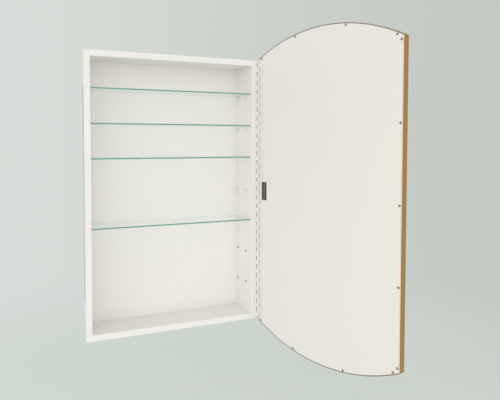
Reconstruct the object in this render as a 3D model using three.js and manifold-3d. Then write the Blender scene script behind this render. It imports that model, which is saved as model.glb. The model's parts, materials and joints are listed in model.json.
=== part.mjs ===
// Recessed medicine cabinet: a folded sheet-steel box that sits in a wall recess, four glass shelves
// on clips, and a barrel-shaped framed mirror door on a continuous hinge, standing fully open.
// Millimetres. +Z is up, +Y points into the wall. The origin is the centre of the back panel's rear face.
import * as THREE from 'three';
import Module from 'manifold-3d';
import { mergeVertices } from 'three/addons/utils/BufferGeometryUtils.js';

// Box
const SHEET = 1.25;
const OPENING_WIDTH = 453;
const OPENING_HEIGHT = 718;
const INNER_DEPTH = 110;
const FLANGE_WIDTH = 16;
const HINGE_FLANGE_WIDTH = 22.5;
const FLANGE_THICKNESS = 2;
const WELD_GAP = 0.1;
const FIT_GAP = 0.3;
const WALLS = [['left', -1], ['right', 1]];

// Shelf slots, counted in rows up and down from the middle of the box
const ROW_PITCH = 91;
const ROWS = [3, 2, 1, 0, -1, -2, -3];
const SHELF_ROWS = [3, 2, 1, -1];
const SPARE_ROW = 0;
const SLOT_LENGTH = 11;
const SLOT_HEIGHT = 3.5;
const SLOT_DEPTHS = { front: 39, rear: 97 };
const SLOT_ARC_STEPS = 2;

// Hat-shaped channels outside the side walls, behind the slot columns
const CHANNEL_STEEL = 0.8;
const CHANNEL_INSIDE = 14;
const CHANNEL_RISE = 3;
const CHANNEL_FOOT = 5;
const CHANNEL_PAST_ROW = 16;

// Glass shelves and their clips
const SHELF_WIDTH = 452;
const SHELF_DEPTH = 100;
const SHELF_THICKNESS = 5;
const SHELF_SETBACK = 8;
const SHELF_CORNER = 3;
const SHELF_ABOVE_ROW = 3.7;
const CLIP_WIDTH = 9;
const CLIP_STEEL = 1.2;
const CLIP_LEDGE = 11;
const CLIP_LEG = 11;
const CLIP_HOOK = 5;
const CLIP_TONGUE_TOP = 0.2;
const CLIP_BEHIND_WALL = 0.5;

// Continuous hinge
const KNUCKLE_COUNT = 58;
const KNUCKLE_PITCH = 12.7;
const KNUCKLE_RADIUS = 3.2;
const KNUCKLE_END_GAP = 0.4;
const BORE_RADIUS = 1.73;
const PIN_RADIUS = 1.5;
const PIN_STANDOUT = 0.8;
const LEAF_WIDTH = 13;
const LEAF_STEEL = 1.2;
const NOTCH_DEPTH = 4;
const TAB_OVERLAP = 1;
const KNUCKLE_SIDES = 12;
const BORE_SIDES = 8;
const HINGE_BESIDE_OPENING = 19.75;
const OPEN_ANGLE = 104;

// Door
const DOOR_WIDTH = 493;
const DOOR_SIDE = 762;
const ARCH_RISE = 57;
const DOOR_THICKNESS = 19.5;
const BACK_SHEET = 1;
const MIRROR_THICKNESS = 4;
const MIRROR_BEVEL = 25;
const MIRROR_EDGE = 2.6;
const BOARD_THICKNESS = 3;
const ARCH_STEPS = 24;

// Frame section
const RIM = 2;
const LIP_WIDTH = 10;
const LIP_THICKNESS = 2;
const LAND_WIDTH = 12;
const NOSE_RADIUS = 3;
const NOSE_STEPS = 3;
const ARRIS = 0.5;

// Screws that hold the frame to the back sheet
const SCREW_INSET = 6;
const SCREW_SHANK = 1.5;
const SCREW_LENGTH = 8;
const SCREW_HEAD = 3;
const SCREW_HEAD_HEIGHT = 1.6;
const SCREW_DOME = { radius: 1.8, height: 1.36, shoulder: 0.48 };
const SCREW_CLEARANCE = 0.25;
const SCREW_SIDES = 8;
const STILE_SCREW_SPACING = 185;
const STILE_SCREW_ROWS = [2, 1, 0, -1, -2];
const ARCH_SCREW_STATIONS = [10, 147, 325, 475];

// Blank plate on the back of the door
const PLATE_WIDTH = 18;
const PLATE_HEIGHT = 52;
const PLATE_THICKNESS = 0.8;
const PLATE_FROM_HINGE = 23;
const PLATE_CORNER = 1;
const CORNER_STEPS = 3;

// Worked out from the above
const FRONT = -(SHEET + INNER_DEPTH);
const SIDE_X = OPENING_WIDTH / 2;
const TOP_Z = OPENING_HEIGHT / 2;
const HINGE_X = SIDE_X + HINGE_BESIDE_OPENING;
const HINGE_OFFSET = KNUCKLE_RADIUS + FIT_GAP;
const HINGE_Y = FRONT - HINGE_OFFSET;
const HINGE_LENGTH = KNUCKLE_COUNT * KNUCKLE_PITCH;
const ARCH_RADIUS = (DOOR_WIDTH ** 2 / 4 + ARCH_RISE ** 2) / (2 * ARCH_RISE);
const ARCH_CENTRE_Z = DOOR_SIDE / 2 + ARCH_RISE - ARCH_RADIUS;
const INFILL_INSET = RIM + FIT_GAP;
const MIRROR_FRONT = DOOR_THICKNESS - LIP_THICKNESS - FIT_GAP;
const MIRROR_BACK = MIRROR_FRONT - MIRROR_THICKNESS;
const BOARD_FRONT = MIRROR_BACK - FIT_GAP;
const BOARD_BACK = BOARD_FRONT - BOARD_THICKNESS;
const LAND_BACK = BACK_SHEET + FIT_GAP;
const LAND_FRONT = BOARD_BACK - FIT_GAP;

const paint = { color: 0xe8e5de, roughness: 0.45, metalness: 0 };
const primer = { color: 0x3a3b3d, roughness: 0.6, metalness: 0.1 };
const hingePaint = { color: 0xe3e0d8, roughness: 0.4, metalness: 0.1 };
const doorPaint = { color: 0xe6e3dc, roughness: 0.3, metalness: 0 };
const glass = { color: 0xb9ded2, roughness: 0.05, metalness: 0, transparent: true, opacity: 0.4 };
const gold = { color: 0xa17d4a, roughness: 0.4, metalness: 0.8 };
const silver = { color: 0xe9eef0, roughness: 0.02, metalness: 1 };
const hardboard = { color: 0x7a5c3e, roughness: 0.85, metalness: 0 };
const zinc = { color: 0xa8a9a6, roughness: 0.35, metalness: 1 };
const blackPlate = { color: 0x2b2d30, roughness: 0.5, metalness: 0.2 };

const wasm = await Module();
wasm.setup();

function toManifold(geometry) {
  const bare = geometry.clone();
  bare.deleteAttribute('normal');
  bare.deleteAttribute('uv');
  const merged = mergeVertices(bare);
  const vertProperties = new Float32Array(merged.attributes.position.array);
  const triVerts = new Uint32Array(merged.index.array);
  return new wasm.Manifold(new wasm.Mesh({ numProp: 3, vertProperties, triVerts }));
}

function fromManifold(manifold) {
  const result = manifold.getMesh();
  const geometry = new THREE.BufferGeometry();
  geometry.setAttribute('position', new THREE.Float32BufferAttribute(result.vertProperties, 3));
  geometry.setIndex(Array.from(result.triVerts));
  geometry.computeVertexNormals();
  return geometry;
}

// Cuts every tool out of a body.
function cut(body, tools) {
  const remaining = tools.reduce((left, tool) => left.subtract(toManifold(tool)), toManifold(body));
  return fromManifold(remaining);
}

// Joins touching or overlapping closed pieces into one body.
function join(pieces) {
  const [first, ...others] = pieces.map(toManifold);
  return fromManifold(others.reduce((whole, piece) => whole.add(piece), first));
}

function signedVolume(points, triangles) {
  return triangles.reduce((sum, [a, b, c]) => {
    const normal = new THREE.Vector3().crossVectors(points[b], points[c]);
    return sum + points[a].dot(normal) / 6;
  }, 0);
}

// Skins a row of rings with equal numbers of points and closes both ends.
function loft(rings, outline) {
  const count = outline.length;
  const points = rings.flat();
  const triangles = [];
  for (let ring = 0; ring < rings.length - 1; ring += 1) {
    for (let i = 0; i < count; i += 1) {
      const here = ring * count + i;
      const next = ring * count + (i + 1) % count;
      triangles.push([here, next, next + count], [here, next + count, here + count]);
    }
  }
  const last = (rings.length - 1) * count;
  const clockwise = THREE.ShapeUtils.isClockWise(outline);
  for (const cap of THREE.ShapeUtils.triangulateShape(outline, [])) {
    const [a, b, c] = clockwise ? cap : cap.toReversed();
    triangles.push([a, b, c], [last + a, last + c, last + b]);
  }
  const outward = signedVolume(points, triangles) > 0;
  const index = triangles.flatMap(([a, b, c]) => (outward ? [a, b, c] : [a, c, b]));
  return new THREE.BufferGeometry().setFromPoints(points).setIndex(index);
}

function box(low, high) {
  const size = new THREE.Vector3().subVectors(high, low);
  const geometry = new THREE.BoxGeometry(size.x, size.y, size.z);
  const centre = new THREE.Vector3().addVectors(low, high).multiplyScalar(0.5);
  return geometry.translate(centre.x, centre.y, centre.z);
}

function roundedRectangle(width, height, radius) {
  const x = width / 2 - radius;
  const y = height / 2 - radius;
  const shape = new THREE.Shape();
  shape.absarc(x, y, radius, 0, Math.PI / 2);
  shape.absarc(-x, y, radius, Math.PI / 2, Math.PI);
  shape.absarc(-x, -y, radius, Math.PI, Math.PI * 1.5);
  shape.absarc(x, -y, radius, Math.PI * 1.5, Math.PI * 2);
  return shape;
}

function extrude(shape, depth, curveSegments) {
  return new THREE.ExtrudeGeometry(shape, { depth, bevelEnabled: false, curveSegments });
}

// An upright cylinder about the Z axis.
function rod(radius, length, sides) {
  return new THREE.CylinderGeometry(radius, radius, length, sides).rotateX(Math.PI / 2);
}

// Turns a geometry so that its own X, Y and Z run along the three given directions.
function along(geometry, x, y, z) {
  const [right, ahead, up] = [x, y, z].map((direction) => new THREE.Vector3(...direction));
  return geometry.applyMatrix4(new THREE.Matrix4().makeBasis(right, ahead, up));
}

const cabinet = new THREE.Group();
const door = new THREE.Group();
door.position.set(HINGE_X, HINGE_Y, 0);
door.rotation.z = THREE.MathUtils.degToRad(OPEN_ANGLE);
cabinet.add(door);

function addMesh(parent, name, geometry, finish) {
  const mesh = new THREE.Mesh(geometry, new THREE.MeshStandardMaterial(finish));
  mesh.name = name;
  parent.add(mesh);
}

// Box: four folded members, each a wall with a front flange turned outward, mitred at the corners.
// The right flange is wider than the others, to reach behind the hinge's knuckles. A flat back panel
// is welded to the walls' rear edges.
function memberSection(flangeWidth) {
  const rear = INNER_DEPTH - WELD_GAP;
  return [
    [0, 0],
    [flangeWidth, 0],
    [flangeWidth, FLANGE_THICKNESS],
    [SHEET, FLANGE_THICKNESS],
    [SHEET, rear],
    [0, rear],
  ].map(([outward, depth]) => new THREE.Vector2(outward, depth));
}

// slopes says how far the member's two ends run on for each millimetre outward.
function foldedMember(innerHalfLength, flangeWidth, slopes, place) {
  const section = memberSection(flangeWidth);
  const rings = slopes.map((slope, index) => section.map(({ x: outward, y: depth }) => {
    const end = index === 0 ? -1 : 1;
    const mitre = innerHalfLength + outward * slope - WELD_GAP / 2;
    return place(outward, FRONT + depth, end * mitre);
  }));
  return loft(rings, section);
}

// A round-ended slot through a side wall, at one row and one depth behind the front plane.
function slotTool(side, row, depth) {
  const shape = roundedRectangle(SLOT_LENGTH, SLOT_HEIGHT, SLOT_HEIGHT * 0.49);
  const tool = extrude(shape, SHEET * 3, SLOT_ARC_STEPS);
  along(tool.translate(0, 0, -SHEET), [0, 1, 0], [0, 0, 1], [1, 0, 0]);
  const inner = side > 0 ? SIDE_X : -SIDE_X - SHEET;
  return tool.translate(inner, FRONT + depth, row * ROW_PITCH);
}

function sideWall(side) {
  const flangeWidth = side > 0 ? HINGE_FLANGE_WIDTH : FLANGE_WIDTH;
  const slope = FLANGE_WIDTH / flangeWidth;
  const place = (outward, y, z) => new THREE.Vector3(side * (SIDE_X + outward), y, z);
  const wall = foldedMember(TOP_Z, flangeWidth, [slope, slope], place);
  const depths = Object.values(SLOT_DEPTHS);
  return cut(wall, ROWS.flatMap((row) => depths.map((depth) => slotTool(side, row, depth))));
}

function endPanel(side) {
  const slopes = [1, HINGE_FLANGE_WIDTH / FLANGE_WIDTH];
  const place = (outward, y, x) => new THREE.Vector3(x, y, side * (TOP_Z + outward));
  return foldedMember(SIDE_X, FLANGE_WIDTH, slopes, place);
}

function backPanel() {
  const halfWidth = SIDE_X + SHEET;
  const halfHeight = TOP_Z + SHEET;
  const low = new THREE.Vector3(-halfWidth, -SHEET, -halfHeight);
  return box(low, new THREE.Vector3(halfWidth, 0, halfHeight));
}

// A channel shuts a column of slots off from the wall cavity, and keeps framing off the clips' hooks.
function slotChannel(side, depth) {
  const web = CHANNEL_INSIDE / 2;
  const shoulder = web + CHANNEL_STEEL;
  const toe = shoulder + CHANNEL_FOOT;
  const halfOutline = [
    [shoulder, CHANNEL_RISE],
    [shoulder, CHANNEL_STEEL],
    [toe, CHANNEL_STEEL],
    [toe, 0],
    [web, 0],
    [web, CHANNEL_RISE - CHANNEL_STEEL],
  ];
  const otherHalf = halfOutline.map(([across, rise]) => [-across, rise]).reverse();
  const outline = [...halfOutline, ...otherHalf].map(([across, rise]) => new THREE.Vector2(across, rise));
  const halfLength = Math.max(...ROWS) * ROW_PITCH + CHANNEL_PAST_ROW;
  const channel = extrude(new THREE.Shape(outline), 2 * halfLength, 1);
  along(channel.translate(0, 0, -halfLength), [0, -side, 0], [side, 0, 0], [0, 0, 1]);
  return channel.translate(side * (SIDE_X + SHEET + WELD_GAP), FRONT + depth, 0);
}

addMesh(cabinet, 'back_panel', backPanel(), paint);
addMesh(cabinet, 'left_side_panel', sideWall(-1), paint);
addMesh(cabinet, 'right_side_panel', sideWall(1), paint);
addMesh(cabinet, 'top_panel', endPanel(1), paint);
addMesh(cabinet, 'bottom_panel', endPanel(-1), paint);
for (const [wall, side] of WALLS) {
  for (const [place, depth] of Object.entries(SLOT_DEPTHS)) {
    addMesh(cabinet, `slot_channel_${wall}_${place}`, slotChannel(side, depth), primer);
  }
}

// Glass shelves, resting on four clips each.
function glassShelf(row) {
  const shape = roundedRectangle(SHELF_WIDTH, SHELF_DEPTH, SHELF_CORNER);
  const plate = extrude(shape, SHELF_THICKNESS, CORNER_STEPS);
  const depth = SHELF_SETBACK + SHELF_DEPTH / 2;
  return plate.translate(0, FRONT + depth, row * ROW_PITCH + SHELF_ABOVE_ROW);
}

// A bent clip: a ledge under the glass, a leg down the wall and a tongue that hooks up behind the slot.
function shelfClip(side, row, depth) {
  const ledgeTop = SHELF_ABOVE_ROW - FIT_GAP;
  const behind = -(SHEET + CLIP_BEHIND_WALL);
  const outline = [
    [CLIP_LEDGE, ledgeTop - CLIP_STEEL],
    [CLIP_LEDGE, ledgeTop],
    [FIT_GAP, ledgeTop],
    [FIT_GAP, CLIP_TONGUE_TOP],
    [behind, CLIP_TONGUE_TOP],
    [behind, CLIP_HOOK],
    [behind - CLIP_STEEL, CLIP_HOOK],
    [behind - CLIP_STEEL, CLIP_TONGUE_TOP - CLIP_STEEL],
    [FIT_GAP, CLIP_TONGUE_TOP - CLIP_STEEL],
    [FIT_GAP, -CLIP_LEG],
    [FIT_GAP + CLIP_STEEL, -CLIP_LEG],
    [FIT_GAP + CLIP_STEEL, ledgeTop - CLIP_STEEL],
  ].map(([inward, up]) => new THREE.Vector2(inward, up));
  const clip = extrude(new THREE.Shape(outline), CLIP_WIDTH, 1).translate(0, 0, -CLIP_WIDTH / 2);
  along(clip, [-side, 0, 0], [0, 0, 1], [0, side, 0]);
  return clip.translate(side * SIDE_X, FRONT + depth, row * ROW_PITCH);
}

function addClips(prefix, row) {
  for (const [wall, side] of WALLS) {
    for (const [place, depth] of Object.entries(SLOT_DEPTHS)) {
      addMesh(cabinet, `${prefix}_${wall}_${place}`, shelfClip(side, row, depth), paint);
    }
  }
}

SHELF_ROWS.forEach((row, index) => {
  addMesh(cabinet, `glass_shelf_${index + 1}`, glassShelf(row), glass);
  addClips(`shelf_clip_${index + 1}`, row);
});
addClips('spare_clip', SPARE_ROW);

// Continuous hinge. Both leaves are drawn about the pin's axis as they lie with the door shut:
// each strip runs from its knuckles towards the middle of the cabinet.
function hingeLeaf(parity, facing) {
  const face = facing * KNUCKLE_RADIUS;
  const lowY = Math.min(face, face - facing * LEAF_STEEL);
  const highY = lowY + LEAF_STEEL;
  const half = HINGE_LENGTH / 2;
  const strip = box(
    new THREE.Vector3(-LEAF_WIDTH, lowY, -half),
    new THREE.Vector3(-NOTCH_DEPTH, highY, half),
  );
  const pieces = [strip];
  const bores = [];
  for (let knuckle = parity; knuckle < KNUCKLE_COUNT; knuckle += 2) {
    const top = half - knuckle * KNUCKLE_PITCH - KNUCKLE_END_GAP / 2;
    const bottom = top - KNUCKLE_PITCH + KNUCKLE_END_GAP;
    const middle = (top + bottom) / 2;
    const tabStart = new THREE.Vector3(-NOTCH_DEPTH - TAB_OVERLAP, lowY, bottom);
    pieces.push(rod(KNUCKLE_RADIUS, top - bottom, KNUCKLE_SIDES).translate(0, 0, middle));
    pieces.push(box(tabStart, new THREE.Vector3(0, highY, top)));
    bores.push(rod(BORE_RADIUS, KNUCKLE_PITCH * 2, BORE_SIDES).translate(0, 0, middle));
  }
  return cut(join(pieces), bores);
}

function hingePin() {
  const length = HINGE_LENGTH + 2 * PIN_STANDOUT;
  return rod(PIN_RADIUS, length, KNUCKLE_SIDES).translate(HINGE_X, HINGE_Y, 0);
}

addMesh(cabinet, 'hinge_fixed_leaf', hingeLeaf(1, 1).translate(HINGE_X, HINGE_Y, 0), hingePaint);
addMesh(cabinet, 'hinge_pin', hingePin(), zinc);
addMesh(door, 'hinge_door_leaf', hingeLeaf(0, -1), hingePaint);

// Door, drawn shut about the pin's axis. across runs from the hinge edge to the free edge,
// depth from the back face to the front face.
function doorPoint(across, depth, z) {
  return new THREE.Vector3(-across, -HINGE_OFFSET - depth, z);
}

// Height of the door's corner when its whole outline is drawn in by an inset.
function cornerZ(inset) {
  return ARCH_CENTRE_Z + Math.sqrt((ARCH_RADIUS - inset) ** 2 - (DOOR_WIDTH / 2 - inset) ** 2);
}

// A point of the upper arch, drawn in by an inset. share runs from -1 at the hinge corner to 1.
function archPoint(inset, share, gap = 0) {
  const radius = ARCH_RADIUS - inset;
  const reach = Math.asin((DOOR_WIDTH / 2 - inset) / radius) - gap / radius;
  const angle = share * reach;
  return { across: DOOR_WIDTH / 2 + radius * Math.sin(angle), z: ARCH_CENTRE_Z + radius * Math.cos(angle) };
}

const archShares = Array.from({ length: ARCH_STEPS + 1 }, (_, i) => 2 * i / ARCH_STEPS - 1);

function barrelOutline(inset) {
  const upper = archShares.map((share) => archPoint(inset, share));
  const lower = upper.map(({ across, z }) => ({ across, z: -z })).reverse();
  return [...upper, ...lower];
}

// A barrel-shaped plate through a row of levels, each an inset and a depth.
function barrelPlate(levels) {
  const rings = levels.map(([inset, depth]) => {
    return barrelOutline(inset).map(({ across, z }) => doorPoint(across, depth, z));
  });
  const flat = barrelOutline(INFILL_INSET).map(({ across, z }) => new THREE.Vector2(across, z));
  return loft(rings, flat);
}

// Frame section: an outer wall with a rim round the back sheet, a land that takes the screws,
// a groove for the mirror and its board, and a front lip with a rounded nose.
function frameSection() {
  const nose = Array.from({ length: NOSE_STEPS + 1 }, (_, i) => {
    const angle = Math.PI / 2 + (i / NOSE_STEPS) * Math.PI / 2;
    const centre = DOOR_THICKNESS - NOSE_RADIUS;
    return [NOSE_RADIUS + NOSE_RADIUS * Math.cos(angle), centre + NOSE_RADIUS * Math.sin(angle)];
  });
  return [
    [0, 0],
    [RIM, 0],
    [RIM, LAND_BACK],
    [LAND_WIDTH, LAND_BACK],
    [LAND_WIDTH, LAND_FRONT],
    [RIM, LAND_FRONT],
    [RIM, DOOR_THICKNESS - LIP_THICKNESS],
    [LIP_WIDTH, DOOR_THICKNESS - LIP_THICKNESS],
    [LIP_WIDTH, DOOR_THICKNESS - ARRIS],
    [LIP_WIDTH - ARRIS, DOOR_THICKNESS],
    ...nose,
  ].map(([inset, depth]) => new THREE.Vector2(inset, depth));
}

function stile(across) {
  const section = frameSection();
  const rings = [-1, 1].map((end) => section.map(({ x: inset, y: depth }) => {
    return doorPoint(across(inset), depth, end * (cornerZ(inset) - WELD_GAP));
  }));
  return loft(rings, section);
}

function archRail(side) {
  const section = frameSection();
  const rings = archShares.map((share) => section.map(({ x: inset, y: depth }) => {
    const point = archPoint(inset, share, WELD_GAP);
    return doorPoint(point.across, depth, side * point.z);
  }));
  return loft(rings, section);
}

// Screws stand in two sets: down the free stile, and round each arch.
const stileScrews = STILE_SCREW_ROWS.map((row) => {
  return { across: DOOR_WIDTH - SCREW_INSET, z: row * STILE_SCREW_SPACING };
});

function archScrews(side) {
  const radius = ARCH_RADIUS - SCREW_INSET;
  return ARCH_SCREW_STATIONS.map((across) => {
    const z = ARCH_CENTRE_Z + Math.sqrt(radius ** 2 - (across - DOOR_WIDTH / 2) ** 2);
    return { across, z: side * z };
  });
}

function screw({ across, z }) {
  const profile = [
    [0, SCREW_HEAD_HEIGHT],
    [SCREW_DOME.radius, SCREW_DOME.height],
    [SCREW_HEAD, SCREW_DOME.shoulder],
    [SCREW_HEAD, 0],
    [SCREW_SHANK, 0],
    [SCREW_SHANK, -SCREW_LENGTH + SCREW_SHANK],
    [0, -SCREW_LENGTH],
  ].reverse().map(([radius, height]) => new THREE.Vector2(radius, height));
  const seat = doorPoint(across, -FIT_GAP, z);
  return new THREE.LatheGeometry(profile, SCREW_SIDES).translate(seat.x, seat.y, seat.z);
}

function screwHole({ across, z }) {
  const radius = SCREW_SHANK + SCREW_CLEARANCE;
  const seat = doorPoint(across, 0, z);
  const hole = new THREE.CylinderGeometry(radius, radius, SCREW_LENGTH * 2, SCREW_SIDES);
  return hole.translate(seat.x, seat.y, seat.z);
}

const upperScrews = archScrews(1);
const lowerScrews = archScrews(-1);
const hingeStile = stile((inset) => inset);
const freeStile = cut(stile((inset) => DOOR_WIDTH - inset), stileScrews.map(screwHole));
const upperRail = cut(archRail(1), upperScrews.map(screwHole));
const lowerRail = cut(archRail(-1), lowerScrews.map(screwHole));
const backSheet = cut(
  barrelPlate([[INFILL_INSET, 0], [INFILL_INSET, BACK_SHEET]]),
  [...stileScrews, ...upperScrews, ...lowerScrews].map(screwHole),
);
const board = barrelPlate([[INFILL_INSET, BOARD_BACK], [INFILL_INSET, BOARD_FRONT]]);
const mirror = barrelPlate([
  [INFILL_INSET, MIRROR_BACK],
  [INFILL_INSET, MIRROR_BACK + MIRROR_EDGE],
  [INFILL_INSET + MIRROR_BEVEL, MIRROR_FRONT],
]);

addMesh(door, 'frame_hinge_stile', hingeStile, gold);
addMesh(door, 'frame_free_stile', freeStile, gold);
addMesh(door, 'frame_upper_arch', upperRail, gold);
addMesh(door, 'frame_lower_arch', lowerRail, gold);
addMesh(door, 'mirror_glass', mirror, silver);
addMesh(door, 'backing_board', board, hardboard);
addMesh(door, 'door_back_sheet', backSheet, doorPaint);
stileScrews.forEach((place, i) => addMesh(door, `stile_screw_${i + 1}`, screw(place), zinc));
upperScrews.forEach((place, i) => addMesh(door, `upper_arch_screw_${i + 1}`, screw(place), zinc));
lowerScrews.forEach((place, i) => addMesh(door, `lower_arch_screw_${i + 1}`, screw(place), zinc));

function blankPlate() {
  const shape = roundedRectangle(PLATE_WIDTH, PLATE_HEIGHT, PLATE_CORNER);
  const plate = extrude(shape, PLATE_THICKNESS, CORNER_STEPS);
  along(plate, [-1, 0, 0], [0, 0, 1], [0, 1, 0]);
  return plate.translate(-PLATE_FROM_HINGE, -HINGE_OFFSET + FIT_GAP, 0);
}

addMesh(door, 'blank_plate', blankPlate(), blackPlate);

export default cabinet;
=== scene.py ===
import json
import math
import random

import bmesh
import bpy
from mathutils import Matrix, Vector


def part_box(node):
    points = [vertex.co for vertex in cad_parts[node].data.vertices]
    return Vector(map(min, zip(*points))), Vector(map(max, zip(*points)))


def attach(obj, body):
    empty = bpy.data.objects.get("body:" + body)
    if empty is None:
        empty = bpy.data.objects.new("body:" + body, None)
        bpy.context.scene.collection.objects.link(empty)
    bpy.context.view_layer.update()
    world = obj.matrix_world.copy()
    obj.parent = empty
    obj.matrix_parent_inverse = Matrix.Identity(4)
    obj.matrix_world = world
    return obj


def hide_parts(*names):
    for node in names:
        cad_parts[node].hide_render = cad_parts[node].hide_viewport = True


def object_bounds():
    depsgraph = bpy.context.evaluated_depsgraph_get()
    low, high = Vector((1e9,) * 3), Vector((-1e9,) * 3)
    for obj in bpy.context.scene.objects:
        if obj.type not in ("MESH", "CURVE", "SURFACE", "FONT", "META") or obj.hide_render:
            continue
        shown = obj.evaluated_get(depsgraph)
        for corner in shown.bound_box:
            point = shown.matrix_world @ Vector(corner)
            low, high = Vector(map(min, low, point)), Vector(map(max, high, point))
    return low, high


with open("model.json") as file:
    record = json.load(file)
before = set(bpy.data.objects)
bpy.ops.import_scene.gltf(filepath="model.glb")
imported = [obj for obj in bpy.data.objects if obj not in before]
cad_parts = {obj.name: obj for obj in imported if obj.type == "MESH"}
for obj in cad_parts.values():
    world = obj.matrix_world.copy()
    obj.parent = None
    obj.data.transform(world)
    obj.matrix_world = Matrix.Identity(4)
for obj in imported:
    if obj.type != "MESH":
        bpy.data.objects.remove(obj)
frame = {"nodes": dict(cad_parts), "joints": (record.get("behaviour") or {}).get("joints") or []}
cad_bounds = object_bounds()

MM = 0.001

# Camera
CAMERA_PLACE = Vector((-0.46595, -1.57111, 0.14469))
CAMERA_LENS = 40.279
CAMERA_SENSOR = 36
CAMERA_SHIFT_Y = -0.0709
CAMERA_YAW = 25.209
CAMERA_PITCH = 2.438
CAMERA_ROLL = 0.133

# Door frame section: the CAD's sizes, with finer curves
RIM = 2 * MM
LIP_WIDTH = 10 * MM
LIP_THICKNESS = 2 * MM
LAND_WIDTH = 12 * MM
NOSE_RADIUS = 3 * MM
NOSE_STEPS = 8
FIT_GAP = 0.3 * MM
MITRE_GAP = 0.1 * MM
ARCH_STEPS = 96

# The rim is what faces the door's back, this squarely and this close to it
RIM_FACING = 0.9
RIM_DEPTH = 0.1 * MM

# Mirror
MIRROR_BEVEL = 25 * MM
MIRROR_EDGE = 2.6 * MM

# Side walls: the places of the two slot columns behind the front plane, and their channels
SHEET = 1.25 * MM
SLOT_DEPTHS = (39 * MM, 97 * MM)
SLOT_COLUMN = 12 * MM
CHANNEL_INSIDE = 14 * MM
CHANNEL_STEEL = 0.8 * MM

# Painted shade, in the colour of dark primer: the cut faces of the slots, between the sheet's painted
# faces, and a strip of flange behind the knuckles, from just in front of the flange to just inside it
SHADE_PRIMER = (0.05, 0.049, 0.047, 1)
SHADE_BORDER = 0.1 * MM
SHADE_INSET = 0.3 * MM
SHADE_STRIP_WIDTH = 9 * MM
SHADE_STRIP_OVERRUN = 1 * MM
SHADE_STRIP_DEPTHS = (-0.5 * MM, 0.7 * MM)

# Shelves: the edge's middle is painted dark and its borders pale as painted reflections, as measured
# round its rounded profile
SHELF_COUNT = 4
SHELF_POLISH = 1.2 * MM
SHELF_CORNER = 3 * MM
POLISH_STEPS = 4
EDGE_CORE = 3.18 * MM
EDGE_FADE = (1.2 * MM, 2.1 * MM)

# Hinge
KNUCKLE_COUNT = 58
KNUCKLE_PITCH = 12.7 * MM
KNUCKLE_RADIUS = 3.2 * MM
FLANGE_AT_HINGE = 22.5 * MM
KNUCKLE_END_GAP = 0.4 * MM
BORE_RADIUS = 1.73 * MM
LEAF_WIDTH = 13 * MM
LEAF_STEEL = 1.2 * MM
NOTCH_DEPTH = 4 * MM
TAB_OVERLAP = 1 * MM
CURL_BEND = 1 * MM
BEND_TURN_STEPS = 6
CURL_STEPS = 26
CURL_END = 115
CURL_MOUTH = 145
CURL_MOUTH_REACH = 0.7 * KNUCKLE_RADIUS

# Shelf clips: corners of the section in millimetres, each inward from the wall, up from the slot row,
# and its radius
CLIP_SECTION = (
    (11, 2.2, 0.3),
    (11, 3.4, 0.3),
    (0.3, 3.4, 1.5),
    (0.3, 0.2, 0.2),
    (-1.75, 0.2, 0.3),
    (-1.75, 5, 0.3),
    (-2.95, 5, 0.3),
    (-2.95, -1, 1.4),
    (0.3, -1, 0.2),
    (0.3, -11, 0.3),
    (1.5, -11, 0.3),
    (1.5, 2.2, 0.4),
)
CLIP_BEHIND_WALL = 2.95 * MM
CLIP_HOOK_TOP = 5 * MM
BEND_STEPS = 4

# Screws: each level of the cross recess is its half length, half width and height
SCREW_SIDES = 32
SCREW_RADIUS = 3 * MM
SCREW_HEIGHT = 1.9 * MM
SCREW_SKIRT = 0.7 * MM
SCREW_SHANK = 1.5 * MM
SCREW_LENGTH = 8 * MM
SCREW_DOME_STEPS = 7
RECESS_LEVELS = ((1.9 * MM, 0.42 * MM, 2.1 * MM), (0.9 * MM, 0.32 * MM, 0.75 * MM))

# Blank plate: each level's inset and its height above the door's back
PLATE_CORNER = 1 * MM
PLATE_LEVELS = tuple(
    (inset * MM, height * MM)
    for inset, height in ((0, 0), (0, 0.9), (0.2, 1.1), (0.9, 1.1), (1.1, 0.85))
)

# Rounded edges
BEVEL_SEGMENTS = 2
PANEL_EDGE = 0.4 * MM
CHANNEL_EDGE = 0.25 * MM
CLIP_EDGE = 0.25 * MM
LEAF_EDGE = 0.22 * MM
SMALL_EDGE = 0.3 * MM
CORNER_STEPS = 8

# Floor and background: the ranges of direction over which one tone turns into the next
FLOOR_DROP = 0.25
FLOOR_RADIUS = 3.5
FLOOR_FADE = (0.1, 2.4)
BACKGROUND = (0.69, 0.725, 0.697, 1)
SHADED_SIDE = (0.555, 0.582, 0.545, 1)
ROOM_LOW = (0.49, 0.525, 0.505, 1)
ROOM_HIGH = (0.83, 0.88, 0.85, 1)
BEHIND_CAMERA = (0.1, 0.5)
TOWARDS_SHADE = (-0.1, 0.85)
ROOM_RISE = (-0.35, 0.35)

LIGHTS = {
    "key": {
        "place": (-1.7, -2.9, 0.3), "aim": (0, -0.1, 0), "size": (3.0, 2.8),
        "power": 18.2, "tint": (1, 0.97, 0.93),
    },
    "side": {
        "place": (-3.0, -1.2, 0.1), "aim": (0.2, -0.3, 0), "size": (1.4, 2.4),
        "power": 12.0, "tint": (1, 0.97, 0.925),
    },
    "fill": {
        "place": (0.1, -3.0, -0.35), "aim": (0, -0.1, 0), "size": (2.4, 3.0),
        "power": 12.6, "tint": (1, 0.98, 0.95),
    },
    "rim": {
        "place": (2.7, 1.5, 0.6), "aim": (0.1, -0.1, 0), "size": (2.5, 3.0),
        "power": 8.5, "tint": (1, 0.99, 0.97), "mirrored": True,
    },
}


# ---------------------------------------------------------------- camera

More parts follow.
